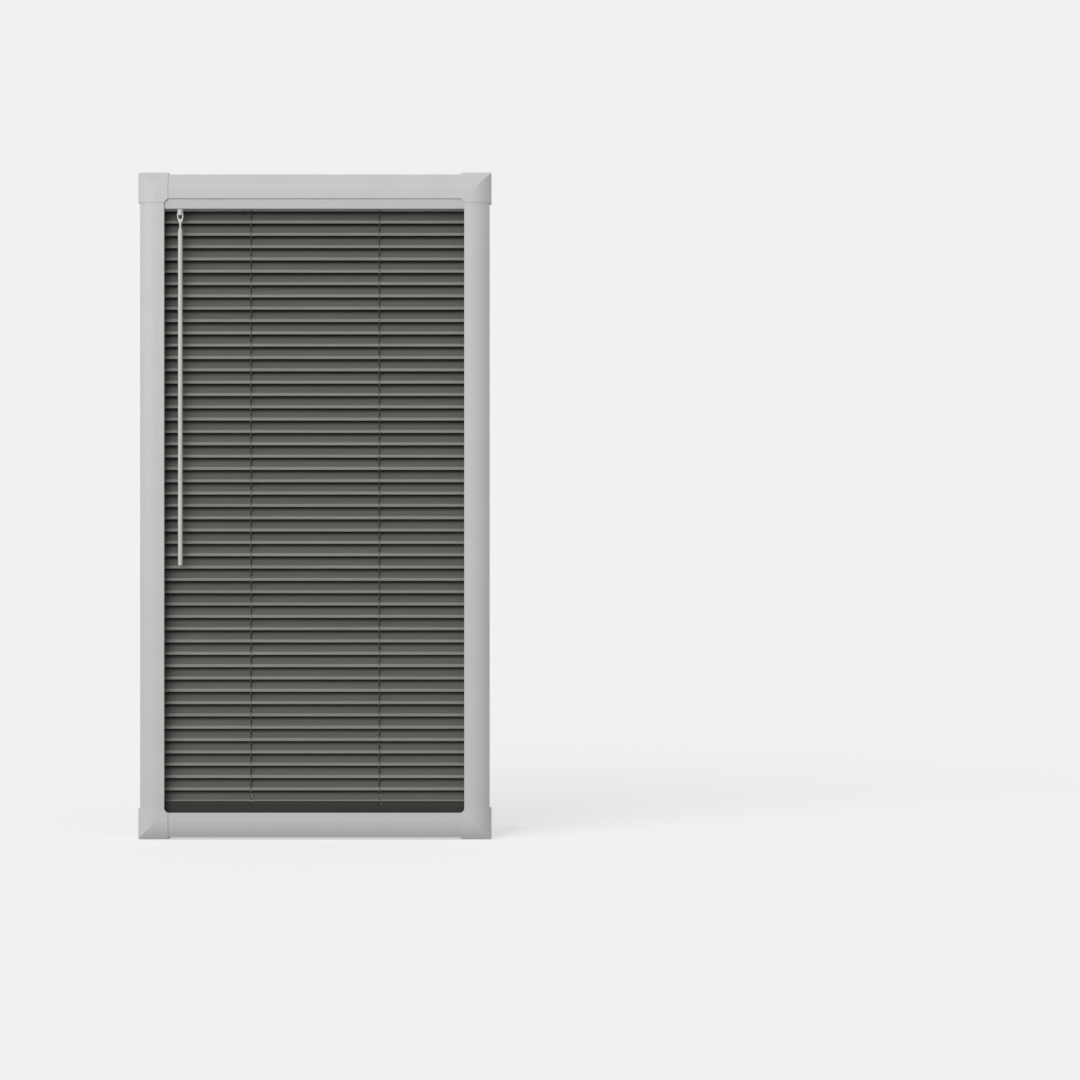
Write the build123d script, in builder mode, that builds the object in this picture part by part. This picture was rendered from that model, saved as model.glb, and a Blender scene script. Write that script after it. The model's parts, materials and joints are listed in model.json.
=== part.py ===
from build123d import *
import os
from math import asin, cos, degrees, radians, sin

# A venetian blind with wooden slats, held in its own frame that clips onto a window sash.
# +X is to the right and +Z is up as seen from the room, and the room is on the -Y side.
# The origin is the middle of the top profile's back face, which seats on the sash. Sizes are in mm.

# Frame profiles: hollow extrusions with a flat inner face that rolls back to the outer edge
frame_width = 608.0
frame_height = 1154.0
frame_depth = 43.0
profile_face = 43.5
profile_wall = 2.0
lip_overlap = 12.0
lip_nose = 1.6
roll_start = 15.5
roll_radius = 45.0
outer_edge_radius = 1.2

# Corner covers: moulded caps over the profiles' ends, with hollow keys into the profiles
cover_side = 3.2
cover_front = 1.0
cover_reach = 5.9
cover_skirt = 3.4
cover_gap = 0.2
cover_edge = 0.8
pocket_wall = 3.0
corner_sag = 0.5
key_length = 38.0
key_wall = 2.5
key_gap = 0.3
key_depth = 26.0

# Headrail: a folded steel channel, open at the top
sheet = 0.8
headrail_show = 17.9
headrail_front_gap = 0.7
headrail_back_gap = 0.2
headrail_end_gap = 1.0
headrail_bend = 2.5
headrail_hem = 5.0

# Slats: flat boards with eased edges, which turn together about their own middles
slat_count = 48
slat_width = 25.4
slat_thickness = 2.5
slat_edge = 0.73
slat_tuck = 9.0
rest_tilt = 62.0
limit_tilt = 62.0
pivot_depth = 17.5
first_drop = 11.72
route_length = 9.6
route_width = 2.8

# Ladders: a cord on each side of the slats, and a rung tape under each slat
ladder_spread = 112.0
ladder_reach = 15.5
ladder_cord = 0.8
ladder_tail = 1.0
ladder_top_gap = 0.3
rung_width = 1.0
rung_thickness = 0.5
rung_over = 0.5
rung_side = 1.3
rung_gap = 0.1
ladder_slot_width = 4.4
ladder_slot_clearance = 0.6

# Guide cords: held taut through the slats' route holes, with a crimp at each end
guide_cord = 1.0
guide_hole_radius = 1.0
crimp_radius = 1.7
crimp_height = 2.5

# Bottom rail: a board with a trough that the last slat dips into
rail_height = 31.57
rail_depth = 30.0
rail_cover = 4.05
rail_end_gap = 1.5
rail_edge = 1.2
trough_half_width = 12.2
trough_clearance = 0.3
rail_slot_width = 3.2
rail_slot_side = 0.7
crimp_recess_radius = 3.5
crimp_recess_depth = 4.0

# Tilt rod: a hexagonal bar with a drum over each ladder and a hub in the tilter
rod_across_flats = 6.0
rod_fit = 0.05
rod_end = 15.0
drum_radius = 5.0
journal_radius = 4.5
journal_over = 1.5
hub_radius = 5.0
running_gap = 0.05
drum_end_gap = 0.3

# Rod cradles: one over each ladder, on the headrail's floor
cradle_half_length = 11.0
cradle_cheek = 3.0
cradle_half_width = 8.0
cradle_base = 2.0
cradle_mouth = 7.5
cradle_over_rod = 6.5

# Tilter: a closed gear case, with a stem whose fork holds the wand on a pin
wand_inset = 27.0
wand_depth = 36.2
case_left = 11.0
case_right = 15.0
case_wall = 1.2
case_back_gap = 1.5
case_over_rod = 8.0
stem_radius = 1.8
stem_hole_radius = 2.4
stem_top_gap = 3.0
bore_end_gap = 0.3
fork_radius = 5.35
fork_gap = 0.35
fork_height = 9.75
fork_roof = 1.1
fork_slot = 3.6
fork_edge = 0.6
pin_radius = 1.2
pin_drop = 6.5
pin_bury = 2.0

# Wand: a round rod that narrows to a neck and ends in a flat eye
wand_radius = 4.1
wand_length = 612.6
wand_end_edge = 1.2
neck_radius = 2.0
neck_root = 12.5
neck_top = 16.0
neck_bottom = 23.7
flare_bottom = 32.4
eye_plate = 3.0
eye_outer = 5.8
eye_lower_outer = 5.2
eye_lower_drop = 8.5
eye_hole_width = 6.0
eye_hole_length = 11.25
eye_pin_gap = 0.15

# Heights and edges that follow from the sizes above
frame_top = (profile_face - lip_overlap) / 2
frame_bottom = frame_top - frame_height
frame_middle = (frame_top + frame_bottom) / 2
half_width = frame_width / 2
half_height = frame_height / 2
opening_half_width = half_width - profile_face
opening_half_height = half_height - profile_face
opening_top = frame_middle + opening_half_height
web_from_edge = profile_face - lip_overlap
web_half_width = half_width - web_from_edge
web_top = frame_top - web_from_edge
web_bottom = frame_bottom + web_from_edge
cover_extent = profile_face + cover_reach
cover_size = cover_extent + cover_side
cover_depth = frame_depth + cover_front
profile_inset = cover_extent - cover_skirt
shoulder_inset = profile_inset - cover_gap

headrail_bottom = opening_top - headrail_show
headrail_floor = headrail_bottom + sheet
headrail_front = frame_depth - profile_wall - headrail_front_gap
headrail_length = 2 * (web_half_width - headrail_end_gap)
rod_height = (headrail_floor + web_top) / 2

half_thickness = slat_thickness / 2
slat_length = 2 * (opening_half_width + slat_tuck)
slat_drop = (slat_width / 2 - half_thickness) * sin(radians(rest_tilt)) + half_thickness
rail_top = web_bottom + rail_height
first_pivot = headrail_bottom - first_drop
last_pivot = rail_top - rail_cover + slat_drop
slat_pitch = (first_pivot - last_pivot) / (slat_count - 1)

rung_reach = ladder_reach + rung_over
rung_middle = half_thickness + rung_gap + rung_thickness / 2
rest_out = ladder_reach * cos(radians(rest_tilt))
rest_rise = ladder_reach * sin(radians(rest_tilt))
limit_rise = ladder_reach * sin(radians(limit_tilt))
window_near = ladder_reach * cos(radians(limit_tilt)) - ladder_cord / 2 - ladder_slot_clearance
window_far = ladder_reach + ladder_cord / 2 + ladder_slot_clearance / 2
window_middle = (window_near + window_far) / 2
window_length = window_far - window_near

rail_length = 2 * (web_half_width - rail_end_gap)
rung_drop = rung_reach * sin(radians(limit_tilt)) + half_thickness + rung_gap + rung_thickness
trough_floor = last_pivot - rung_drop - trough_clearance
recess_ceiling = web_bottom + crimp_recess_depth

wand_x = wand_inset - opening_half_width
fork_top = headrail_bottom - fork_gap
pin_height = fork_top - pin_drop
case_start = wand_x - case_left
case_length = case_left + case_right
case_front = wand_depth + stem_radius + running_gap + case_wall
case_back = headrail_back_gap + sheet + case_back_gap
case_top = rod_height + case_over_rod
stem_top = case_top - stem_top_gap
hub_start = case_start + case_wall + drum_end_gap
hub_end = wand_x + case_right + journal_over
rod_finish = ladder_spread + rod_end
barrel_half_length = cradle_half_length - cradle_cheek - drum_end_gap
journal_half_length = cradle_half_length + journal_over
cradle_floor = headrail_floor + cradle_base

# Section across the blind: local x is the depth towards the room, local y is up
depth_plane = Plane(origin=(0, 0, 0), x_dir=(0, -1, 0), z_dir=(-1, 0, 0))

# Face of the top right-hand corner: local x and y run inwards from the frame's outer corner
corner_plane = Plane(origin=(half_width, 0, frame_top), x_dir=(-1, 0, 0), z_dir=(0, -1, 0))

# Face of the wand's eye, with the pin at its origin
eye_face = Plane(origin=(wand_x, -wand_depth, pin_height), x_dir=(1, 0, 0), z_dir=(0, -1, 0))

ladder_places = [(side * ladder_spread, -pivot_depth) for side in (-1, 1)]
front_cord_places = [(side * ladder_spread, -pivot_depth - rest_out) for side in (-1, 1)]
back_cord_places = [(side * ladder_spread, -pivot_depth + rest_out) for side in (-1, 1)]
rail_slot_places = [(side * ladder_spread + rail_slot_side, -pivot_depth) for side in (-1, 1)]
rung_places = [(side * ladder_spread + rung_side, 0) for side in (-1, 1)]
route_places = [(side * ladder_spread, 0) for side in (-1, 1)]
window_places = [
    (side * ladder_spread, toward * window_middle - pivot_depth)
    for side in (-1, 1)
    for toward in (-1, 1)
]

os.makedirs("parts", exist_ok=True)


def side_plane(height):
    """Section of the right-hand upright, seen downwards: local x runs outwards, y to the room."""
    return Plane(origin=(opening_half_width, 0, height), x_dir=(1, 0, 0), z_dir=(0, 0, -1))


def cross_plane(across):
    """Section of the top profile, seen from its left: local x runs upwards, y to the room."""
    return Plane(origin=(across, 0, opening_top), x_dir=(0, 0, 1), z_dir=(1, 0, 0))


def roll_outline(inner, outer, back, front):
    """Closed line with a flat front that rolls back to the outer edge, about one centre."""
    radius = roll_radius + front - frame_depth
    angle = degrees(asin((outer - roll_start) / radius))
    edge_depth = front - radius * (1 - cos(radians(angle)))
    with BuildLine() as outline:
        CenterArc((roll_start, front - radius), radius, 90, -angle)
        Polyline(
            (outer, edge_depth), (outer, back), (inner, back), (inner, front), (roll_start, front)
        )
    return outline.edges()


def profile_section(plane):
    """Section of a frame profile: a closed chamber, and a lip that stands over the opening."""
    chamber_start = lip_overlap + profile_wall
    chamber_end = profile_face - profile_wall
    lip_back = frame_depth - profile_wall
    with BuildSketch(plane) as section:
        make_face(roll_outline(0, profile_face, 0, frame_depth))
        outer_edge = section.vertices().group_by(Axis.X)[-1].sort_by(Axis.Y)[-1]
        fillet(outer_edge, radius=outer_edge_radius)
        inner_edge = section.vertices().group_by(Axis.X)[0].sort_by(Axis.Y)[-1]
        fillet(inner_edge, radius=lip_nose)
        make_face(
            roll_outline(chamber_start, chamber_end, profile_wall, lip_back), mode=Mode.SUBTRACT
        )
        with Locations((lip_overlap / 2, lip_back / 2)):
            Rectangle(lip_overlap, lip_back, mode=Mode.SUBTRACT)
    return section.sketch


def cover_section(plane, inset):
    """Section of a corner cover, with its outer faces moved in by an inset."""
    with BuildSketch(plane) as section:
        make_face(
            roll_outline(-cover_reach, profile_face + cover_side - inset, 0, cover_depth - inset)
        )
        outer_edge = section.vertices().group_by(Axis.X)[-1].sort_by(Axis.Y)[-1]
        fillet(outer_edge, radius=cover_edge)
    return section.sketch


def envelope_section(plane):
    """Section of the room that a frame profile takes in a corner cover, open at the back."""
    with BuildSketch(plane) as section:
        make_face(
            roll_outline(-cover_gap, profile_face + cover_gap, -cover_gap, frame_depth + cover_gap)
        )
    return section.sketch


def key_section(plane):
    """Section of a corner cover's key, which slides into a frame profile's chamber."""
    start = lip_overlap + profile_wall + key_gap
    end = profile_face - profile_wall - key_gap
    back = profile_wall + key_gap
    with BuildSketch(plane) as section:
        with Locations(((start + end) / 2, (back + key_depth) / 2)):
            Rectangle(end - start, key_depth - back)
            Rectangle(
                end - start - 2 * key_wall, key_depth - back - 2 * key_wall, mode=Mode.SUBTRACT
            )
    return section.sketch


def cover_form(inset):
    """Top right-hand corner cover before its cut-outs: two rolled forms that meet in a mitre."""
    side_start = frame_top + cover_side - inset
    cross_start = half_width + cover_side - inset
    with BuildPart() as form:
        extrude(cover_section(side_plane(side_start), inset), amount=cover_size - inset)
        extrude(
            cover_section(cross_plane(cross_start), inset),
            amount=inset - cover_size,
            mode=Mode.INTERSECT,
        )
    return form.part


def sleeve_section(start, radius):
    """Section of a round sleeve over the hexagonal rod."""
    with BuildSketch(Plane.YZ.offset(start)) as section:
        with Locations((-pivot_depth, rod_height)):
            Circle(radius)
            RegularPolygon(
                rod_across_flats / 2 + rod_fit, 6, major_radius=False, mode=Mode.SUBTRACT
            )
    return section.sketch


# Frame profiles, cut square where the corner covers take over
with BuildPart() as frame_profiles:
    extrude(
        profile_section(side_plane(frame_middle)), amount=half_height - profile_inset, both=True
    )
    mirror(about=Plane.YZ)
    cross_profile = extrude(
        profile_section(cross_plane(0)), amount=half_width - profile_inset, both=True
    )
    mirror(cross_profile, about=Plane.XY.offset(frame_middle))
frame_profiles.part.label = "frame_profiles"
export_step(frame_profiles.part, "parts/frame_profiles.step")

# Hollow behind a corner cover's face, with a wall left at each shoulder and along the opening
with BuildPart() as cover_hollow:
    add(cover_form(pocket_wall))
    with BuildSketch(corner_plane):
        with BuildLine():
            Polyline(
                (-cover_side, -cover_side),
                (shoulder_inset - pocket_wall, -cover_side),
                (shoulder_inset - pocket_wall, web_from_edge - pocket_wall),
                (web_from_edge - pocket_wall, web_from_edge - pocket_wall),
                (web_from_edge - pocket_wall, shoulder_inset - pocket_wall),
                (-cover_side, shoulder_inset - pocket_wall),
                close=True,
            )
        make_face()
    extrude(amount=frame_depth, mode=Mode.INTERSECT)

# Corner covers: one is made, and mirrored to the other corners
with BuildPart() as corner_covers:
    add(cover_form(0))
    with BuildSketch(corner_plane) as cover_outline:
        with BuildLine():
            Polyline(
                (profile_face, cover_extent),
                (-cover_side, cover_extent),
                (-cover_side, -cover_side),
                (cover_extent, -cover_side),
                (cover_extent, profile_face),
            )
            ThreePointArc(
                (cover_extent, profile_face),
                (
                    (cover_extent + profile_face) / 2 - corner_sag,
                    (cover_extent + profile_face) / 2 - corner_sag,
                ),
                (profile_face, cover_extent),
            )
        make_face()
        fillet(cover_outline.vertices().sort_by(Axis((0, 0, 0), (1, 1, 0)))[0], radius=cover_edge)
    extrude(amount=cover_depth, mode=Mode.INTERSECT)
    with BuildSketch(corner_plane):
        with Locations((web_from_edge, web_from_edge)):
            Rectangle(cover_size, cover_size, align=(Align.MIN, Align.MIN))
    extrude(amount=frame_depth - profile_wall, mode=Mode.SUBTRACT)
    add(cover_hollow.part, mode=Mode.SUBTRACT)
    shoulder_height = frame_top - shoulder_inset
    shoulder_x = half_width - shoulder_inset
    extrude(
        envelope_section(side_plane(shoulder_height)), amount=key_length, mode=Mode.SUBTRACT
    )
    extrude(envelope_section(cross_plane(shoulder_x)), amount=-key_length, mode=Mode.SUBTRACT)
    extrude(key_section(side_plane(shoulder_height)), amount=key_length)
    extrude(key_section(cross_plane(shoulder_x)), amount=-key_length)
    mirror(about=Plane.YZ)
    mirror(about=Plane.XY.offset(frame_middle))
corner_covers.part.label = "corner_covers"
export_step(corner_covers.part, "parts/corner_covers.step")

# Headrail, with hems that bear against the top profile's web, and cut-outs in its floor
with BuildPart() as headrail:
    with BuildSketch(depth_plane) as headrail_section:
        with Locations((headrail_back_gap, headrail_bottom)):
            Rectangle(
                headrail_front - headrail_back_gap,
                web_top - headrail_bottom,
                align=(Align.MIN, Align.MIN),
            )
        fillet(headrail_section.vertices().group_by(Axis.Y)[0], radius=headrail_bend)
        offset(amount=-sheet, mode=Mode.SUBTRACT)
        with Locations(((headrail_front + headrail_back_gap) / 2, web_top)):
            Rectangle(
                headrail_front - headrail_back_gap - 2 * headrail_hem, 2 * sheet, mode=Mode.SUBTRACT
            )
    extrude(amount=headrail_length / 2, both=True)
    with BuildSketch(Plane.XY.offset(headrail_bottom)):
        with Locations(window_places):
            Rectangle(ladder_slot_width, window_length)
        with Locations(ladder_places):
            Circle(guide_hole_radius)
        with Locations((wand_x, -wand_depth)):
            Circle(stem_hole_radius)
    extrude(amount=headrail_bend, mode=Mode.SUBTRACT)
headrail.part.label = "headrail"
export_step(headrail.part, "parts/headrail.step")

# Rod cradles, with open mouths that the drums' journals snap through
with BuildPart() as rod_cradles:
    for side in (-1, 1):
        middle = side * ladder_spread
        with BuildSketch(Plane.XY.offset(headrail_floor)):
            with Locations((middle, -pivot_depth)):
                Rectangle(2 * cradle_half_length, 2 * cradle_half_width)
        extrude(amount=cradle_base)
        with BuildSketch(
            Plane.YZ.offset(middle - cradle_half_length),
            Plane.YZ.offset(middle + cradle_half_length - cradle_cheek),
        ):
            with Locations((-pivot_depth, rod_height)):
                Circle(cradle_over_rod)
                Rectangle(
                    2 * cradle_over_rod, rod_height - headrail_floor, align=(Align.CENTER, Align.MAX)
                )
                Circle(journal_radius + running_gap, mode=Mode.SUBTRACT)
                Rectangle(
                    cradle_mouth,
                    cradle_over_rod,
                    align=(Align.CENTER, Align.MIN),
                    mode=Mode.SUBTRACT,
                )
        extrude(amount=cradle_cheek)
    with BuildSketch(Plane.XY.offset(headrail_floor)):
        with Locations(window_places):
            Rectangle(ladder_slot_width, window_length)
        with Locations(ladder_places):
            Circle(guide_hole_radius)
    extrude(amount=cradle_base, mode=Mode.SUBTRACT)
rod_cradles.part.label = "rod_cradles"
export_step(rod_cradles.part, "parts/rod_cradles.step")

# Tilter housing: a closed gear case, with bores for the stem and for the rod's hub
with BuildPart() as tilter_housing:
    with BuildSketch(Plane.YZ.offset(case_start)) as case_section:
        with Locations((-case_back, headrail_floor)):
            Rectangle(
                case_front - case_back, case_top - headrail_floor, align=(Align.MAX, Align.MIN)
            )
        fillet(case_section.vertices(), radius=headrail_bend)
    extrude(amount=case_length)
    with BuildSketch(Plane.YZ.offset(case_start + case_wall)):
        with Locations((-pivot_depth, rod_height)):
            Circle(hub_radius + running_gap)
    extrude(amount=case_length, mode=Mode.SUBTRACT)
    with BuildSketch(Plane.XY.offset(headrail_floor)):
        with Locations((wand_x, -wand_depth)):
            Circle(stem_radius + running_gap)
    extrude(amount=stem_top + bore_end_gap - headrail_floor, mode=Mode.SUBTRACT)
tilter_housing.part.label = "tilter_housing"
export_step(tilter_housing.part, "parts/tilter_housing.step")

# Tilt rod: the bar, the tilter's hub and two drums, which slide on the bar
with BuildPart() as tilt_rod:
    with BuildSketch(Plane.YZ.offset(hub_start)):
        with Locations((-pivot_depth, rod_height)):
            RegularPolygon(rod_across_flats / 2, 6, major_radius=False)
    extrude(amount=rod_finish - hub_start)
    extrude(sleeve_section(hub_start, hub_radius), amount=hub_end - hub_start)
    for side in (-1, 1):
        middle = side * ladder_spread
        extrude(
            sleeve_section(middle - journal_half_length, journal_radius),
            amount=2 * journal_half_length,
        )
        extrude(
            sleeve_section(middle - barrel_half_length, drum_radius), amount=2 * barrel_half_length
        )
tilt_rod.part.label = "tilt_rod"
export_step(tilt_rod.part, "parts/tilt_rod.step")

# Tilter stem: a shaft up into the housing, and a fork below with a pin across it
with BuildPart() as tilter_stem:
    with BuildSketch(Plane.XY.offset(fork_top)):
        with Locations((wand_x, -wand_depth)):
            Circle(fork_radius)
    extrude(amount=-fork_height)
    chamfer(tilter_stem.edges().filter_by(GeomType.CIRCLE), length=fork_edge)
    with BuildSketch(Plane.XY.offset(fork_top - fork_roof)):
        with Locations((wand_x, -wand_depth)):
            Rectangle(2 * fork_radius, fork_slot)
    extrude(amount=-fork_height, mode=Mode.SUBTRACT)
    with BuildSketch(eye_face):
        Circle(pin_radius)
    extrude(amount=fork_slot / 2 + pin_bury, both=True)
    with BuildSketch(Plane.XY.offset(fork_top)):
        with Locations((wand_x, -wand_depth)):
            Circle(stem_radius)
    extrude(amount=stem_top - fork_top)
tilter_stem.part.label = "tilter_stem"
export_step(tilter_stem.part, "parts/tilter_stem.step")

# Wand: turned from the neck down, with a flat eye that hangs on the stem's pin
hole_top = pin_radius + eye_pin_gap
with BuildPart() as wand:
    with BuildSketch(eye_face):
        with BuildLine():
            Polyline((0, -neck_root), (neck_radius, -neck_top), (neck_radius, -neck_bottom))
            Bezier(
                (neck_radius, -neck_bottom),
                (neck_radius, -(neck_bottom + flare_bottom) / 2),
                (wand_radius, -(neck_bottom + flare_bottom) / 2),
                (wand_radius, -flare_bottom),
            )
            Polyline(
                (wand_radius, -flare_bottom),
                (wand_radius, wand_end_edge - wand_length),
                (wand_radius - wand_end_edge, -wand_length),
                (0, -wand_length),
                (0, -neck_root),
            )
        make_face()
    revolve(axis=Axis((wand_x, -wand_depth, pin_height), (0, 0, 1)))
    with BuildSketch(eye_face):
        with Locations((0, hole_top - eye_hole_width / 2)):
            Circle(eye_outer)
        with Locations((0, -eye_lower_drop)):
            Circle(eye_lower_outer)
        with Locations((0, -neck_top)):
            Circle(neck_radius)
        make_hull()
        with Locations((0, hole_top - eye_hole_length / 2)):
            SlotOverall(eye_hole_length, eye_hole_width, rotation=90, mode=Mode.SUBTRACT)
    extrude(amount=eye_plate / 2, both=True)
wand.part.label = "wand"
export_step(wand.part, "parts/wand.step")

# Slats, each with its two rungs: a node for each slat, numbered from the top
for number in range(slat_count):
    pivot = (0, -pivot_depth, first_pivot - slat_pitch * number)
    room_edge = (0, -cos(radians(rest_tilt)), -sin(radians(rest_tilt)))
    upper_face = (0, -sin(radians(rest_tilt)), cos(radians(rest_tilt)))
    section_plane = Plane(origin=pivot, x_dir=room_edge, z_dir=(-1, 0, 0))
    face_plane = Plane(origin=pivot, x_dir=(1, 0, 0), z_dir=upper_face)
    with BuildPart() as slat:
        with BuildSketch(section_plane) as slat_section:
            Rectangle(slat_width, slat_thickness)
            chamfer(slat_section.vertices(), length=slat_edge)
        extrude(amount=slat_length / 2, both=True)
        with BuildSketch(face_plane):
            with Locations(route_places):
                Rectangle(route_width, route_length)
        extrude(amount=slat_thickness, both=True, mode=Mode.SUBTRACT)
        with BuildSketch(face_plane.offset(-rung_middle)):
            with Locations(rung_places):
                Rectangle(rung_width, 2 * rung_reach)
        extrude(amount=rung_thickness / 2, both=True)
    slat.part.label = f"slat_{number + 1:02d}"
    export_step(slat.part, f"parts/slat_{number + 1:02d}.step")

# Ladder cords on the room side, whose top ends are inside the headrail at every tilt
front_foot = last_pivot - rest_rise - ladder_tail
front_head = web_top - ladder_top_gap - limit_rise - rest_rise
with BuildPart() as ladder_front_cords:
    with BuildSketch(Plane.XY.offset(front_foot)):
        with Locations(front_cord_places):
            Circle(ladder_cord / 2)
    extrude(amount=front_head - front_foot)
ladder_front_cords.part.label = "ladder_front_cords"
export_step(ladder_front_cords.part, "parts/ladder_front_cords.step")

# Ladder cords on the window side
back_foot = last_pivot + rest_rise - ladder_tail
back_head = web_top - ladder_top_gap - limit_rise + rest_rise
with BuildPart() as ladder_back_cords:
    with BuildSketch(Plane.XY.offset(back_foot)):
        with Locations(back_cord_places):
            Circle(ladder_cord / 2)
    extrude(amount=back_head - back_foot)
ladder_back_cords.part.label = "ladder_back_cords"
export_step(ladder_back_cords.part, "parts/ladder_back_cords.step")

# Guide cords, with a crimp on the cradle's base and another in the rail's recess
with BuildPart() as guide_cords:
    with BuildSketch(Plane.XY.offset(recess_ceiling - crimp_height)):
        with Locations(ladder_places):
            Circle(guide_cord / 2)
    extrude(amount=cradle_floor + 2 * crimp_height - recess_ceiling)
    with BuildSketch(Plane.XY.offset(cradle_floor), Plane.XY.offset(recess_ceiling - crimp_height)):
        with Locations(ladder_places):
            Circle(crimp_radius)
    extrude(amount=crimp_height)
guide_cords.part.label = "guide_cords"
export_step(guide_cords.part, "parts/guide_cords.step")

# Bottom rail, which stands on the bottom profile's web
with BuildPart() as bottom_rail:
    with BuildSketch(depth_plane) as rail_section:
        with Locations((pivot_depth, web_bottom)):
            Rectangle(rail_depth, rail_top - web_bottom, align=(Align.CENTER, Align.MIN))
        fillet(rail_section.vertices().group_by(Axis.Y)[-1], radius=rail_edge)
        with Locations((pivot_depth, trough_floor)):
            Rectangle(
                2 * trough_half_width,
                rail_top - trough_floor,
                align=(Align.CENTER, Align.MIN),
                mode=Mode.SUBTRACT,
            )
    extrude(amount=rail_length / 2, both=True)
    with BuildSketch(Plane.XY.offset(trough_floor)):
        with Locations(rail_slot_places):
            Rectangle(rail_slot_width, rail_depth)
    extrude(amount=rail_top - trough_floor, mode=Mode.SUBTRACT)
    with BuildSketch(Plane.XY.offset(web_bottom)):
        with Locations(ladder_places):
            Circle(guide_hole_radius)
    extrude(amount=trough_floor - web_bottom, mode=Mode.SUBTRACT)
    with BuildSketch(Plane.XY.offset(web_bottom)):
        with Locations(ladder_places):
            Circle(crimp_recess_radius)
    extrude(amount=crimp_recess_depth, mode=Mode.SUBTRACT)
bottom_rail.part.label = "bottom_rail"
export_step(bottom_rail.part, "parts/bottom_rail.step")
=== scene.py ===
import json
from math import asin, cos, pi, radians, sin

import bmesh
import bpy
from bpy.props import FloatProperty, FloatVectorProperty, PointerProperty
from mathutils import Matrix, Vector

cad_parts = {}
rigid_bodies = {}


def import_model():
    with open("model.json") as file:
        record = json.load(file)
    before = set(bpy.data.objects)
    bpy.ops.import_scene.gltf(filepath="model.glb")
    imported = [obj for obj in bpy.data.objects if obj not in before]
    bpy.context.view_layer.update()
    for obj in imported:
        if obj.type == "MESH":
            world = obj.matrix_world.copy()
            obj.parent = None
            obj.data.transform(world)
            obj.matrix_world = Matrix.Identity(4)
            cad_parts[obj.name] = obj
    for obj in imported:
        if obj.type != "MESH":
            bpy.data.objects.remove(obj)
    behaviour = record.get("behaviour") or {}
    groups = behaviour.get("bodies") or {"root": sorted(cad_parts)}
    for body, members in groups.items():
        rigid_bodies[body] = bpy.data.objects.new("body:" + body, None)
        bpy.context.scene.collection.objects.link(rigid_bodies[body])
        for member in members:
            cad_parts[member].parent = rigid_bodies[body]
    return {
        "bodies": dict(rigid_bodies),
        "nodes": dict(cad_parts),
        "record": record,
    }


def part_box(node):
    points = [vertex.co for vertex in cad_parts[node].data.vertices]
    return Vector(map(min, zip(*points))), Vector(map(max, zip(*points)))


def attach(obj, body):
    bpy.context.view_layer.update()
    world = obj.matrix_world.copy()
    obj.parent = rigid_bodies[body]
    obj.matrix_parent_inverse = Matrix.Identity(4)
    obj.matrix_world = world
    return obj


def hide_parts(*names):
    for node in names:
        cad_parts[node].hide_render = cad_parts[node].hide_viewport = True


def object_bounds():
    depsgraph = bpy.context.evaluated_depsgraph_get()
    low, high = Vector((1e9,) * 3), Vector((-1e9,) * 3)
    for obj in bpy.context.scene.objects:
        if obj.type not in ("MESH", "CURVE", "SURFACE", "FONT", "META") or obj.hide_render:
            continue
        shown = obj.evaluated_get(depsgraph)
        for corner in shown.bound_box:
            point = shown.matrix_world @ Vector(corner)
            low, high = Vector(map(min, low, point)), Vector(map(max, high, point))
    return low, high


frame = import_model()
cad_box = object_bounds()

# A framed venetian blind with wooden slats, dressed for rendering.
# +X is to the right and +Z is up as seen from the room, and the room is on the -Y side.
# The CAD frame, headrail and cords keep their shapes. The slats, the stem and the wand are modelled
# again here, with the round edges and the ladder rungs that the CAD solids leave out.

bl_info = {
    "name": "Framed wooden blind",
    "version": (1, 0, 0),
    "blender": (4, 5, 0),
    "location": "View3D > Sidebar > Blind",
    "description": "Dresses the CAD model of a framed wooden blind, and sets up its studio",
    "category": "Object",
}

mm = 0.001

# Places that come from the CAD model
nodes = frame["nodes"]
joints = frame["record"]["behaviour"]["joints"]
pivots = {joint["child"]: Vector(joint["pos_m"]) for joint in joints if "pos_m" in joint}
slat_bodies = sorted(body for body in frame["bodies"] if body.startswith("slat_"))
slat_low, slat_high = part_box("slat_01")
cord_low, cord_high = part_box("ladder_front_cords")
frame_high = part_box("frame_profiles")[1]
stem_low, stem_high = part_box("tilter_stem")
wand_low, wand_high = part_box("wand")
pin = pivots["wand"]

# Small forms that a user has no reason to change
profile_face = 43.5 * mm
cord_radius = 0.4 * mm
nose_steps = 6
slat_end_ease = 0.4 * mm
route_ease = 0.25 * mm
route_arc_steps = 4
route_cell = (3.0 * mm, 6.5 * mm)
rung_side = 1.2 * mm
rung_gap = 0.1 * mm
rung_bend = (13.4 * mm, 14.7 * mm)
knot_radius = 0.6 * mm
knot_steps = 6
rung_climb_share = 0.6
rung_sides = 8
fork_round = 0.4 * mm
fork_roof = 1.1 * mm
fork_height = 9.75 * mm
shaft_radius = 1.8 * mm
pin_radius = 1.2 * mm
pin_half_length = 3.8 * mm
eye_hole_top = -1.65 * mm
eye_hole_bottom = -6.9 * mm
eye_hole_radius = 3.0 * mm
eye_head_radius = 5.8 * mm
eye_waist = -8.5 * mm
eye_waist_radius = 5.2 * mm
eye_foot = -16.0 * mm
eye_corner = 0.7 * mm
eye_corner_steps = 4
eye_turns = 72
rod_root = -12.5 * mm
rod_root_round = 3.5 * mm
rod_root_flat = 0.02 * mm
flare_top = -23.7 * mm
flare_bottom = -32.4 * mm
flare_steps = 12
rod_end_round = 1.2 * mm
round_steps = 5
join_within = 0.002 * mm
same_point = 0.0001 * mm
least_facing = 0.05
smooth_below = radians(40)

# Painted light on the slats' stain: painted shade toward the back edge, under the slat above, and a
# painted highlight as a paler strip along the room edge
painted_shade_from = 2.5 * mm
painted_shade_to = 9.2 * mm
painted_shade_share = 0.22
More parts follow.
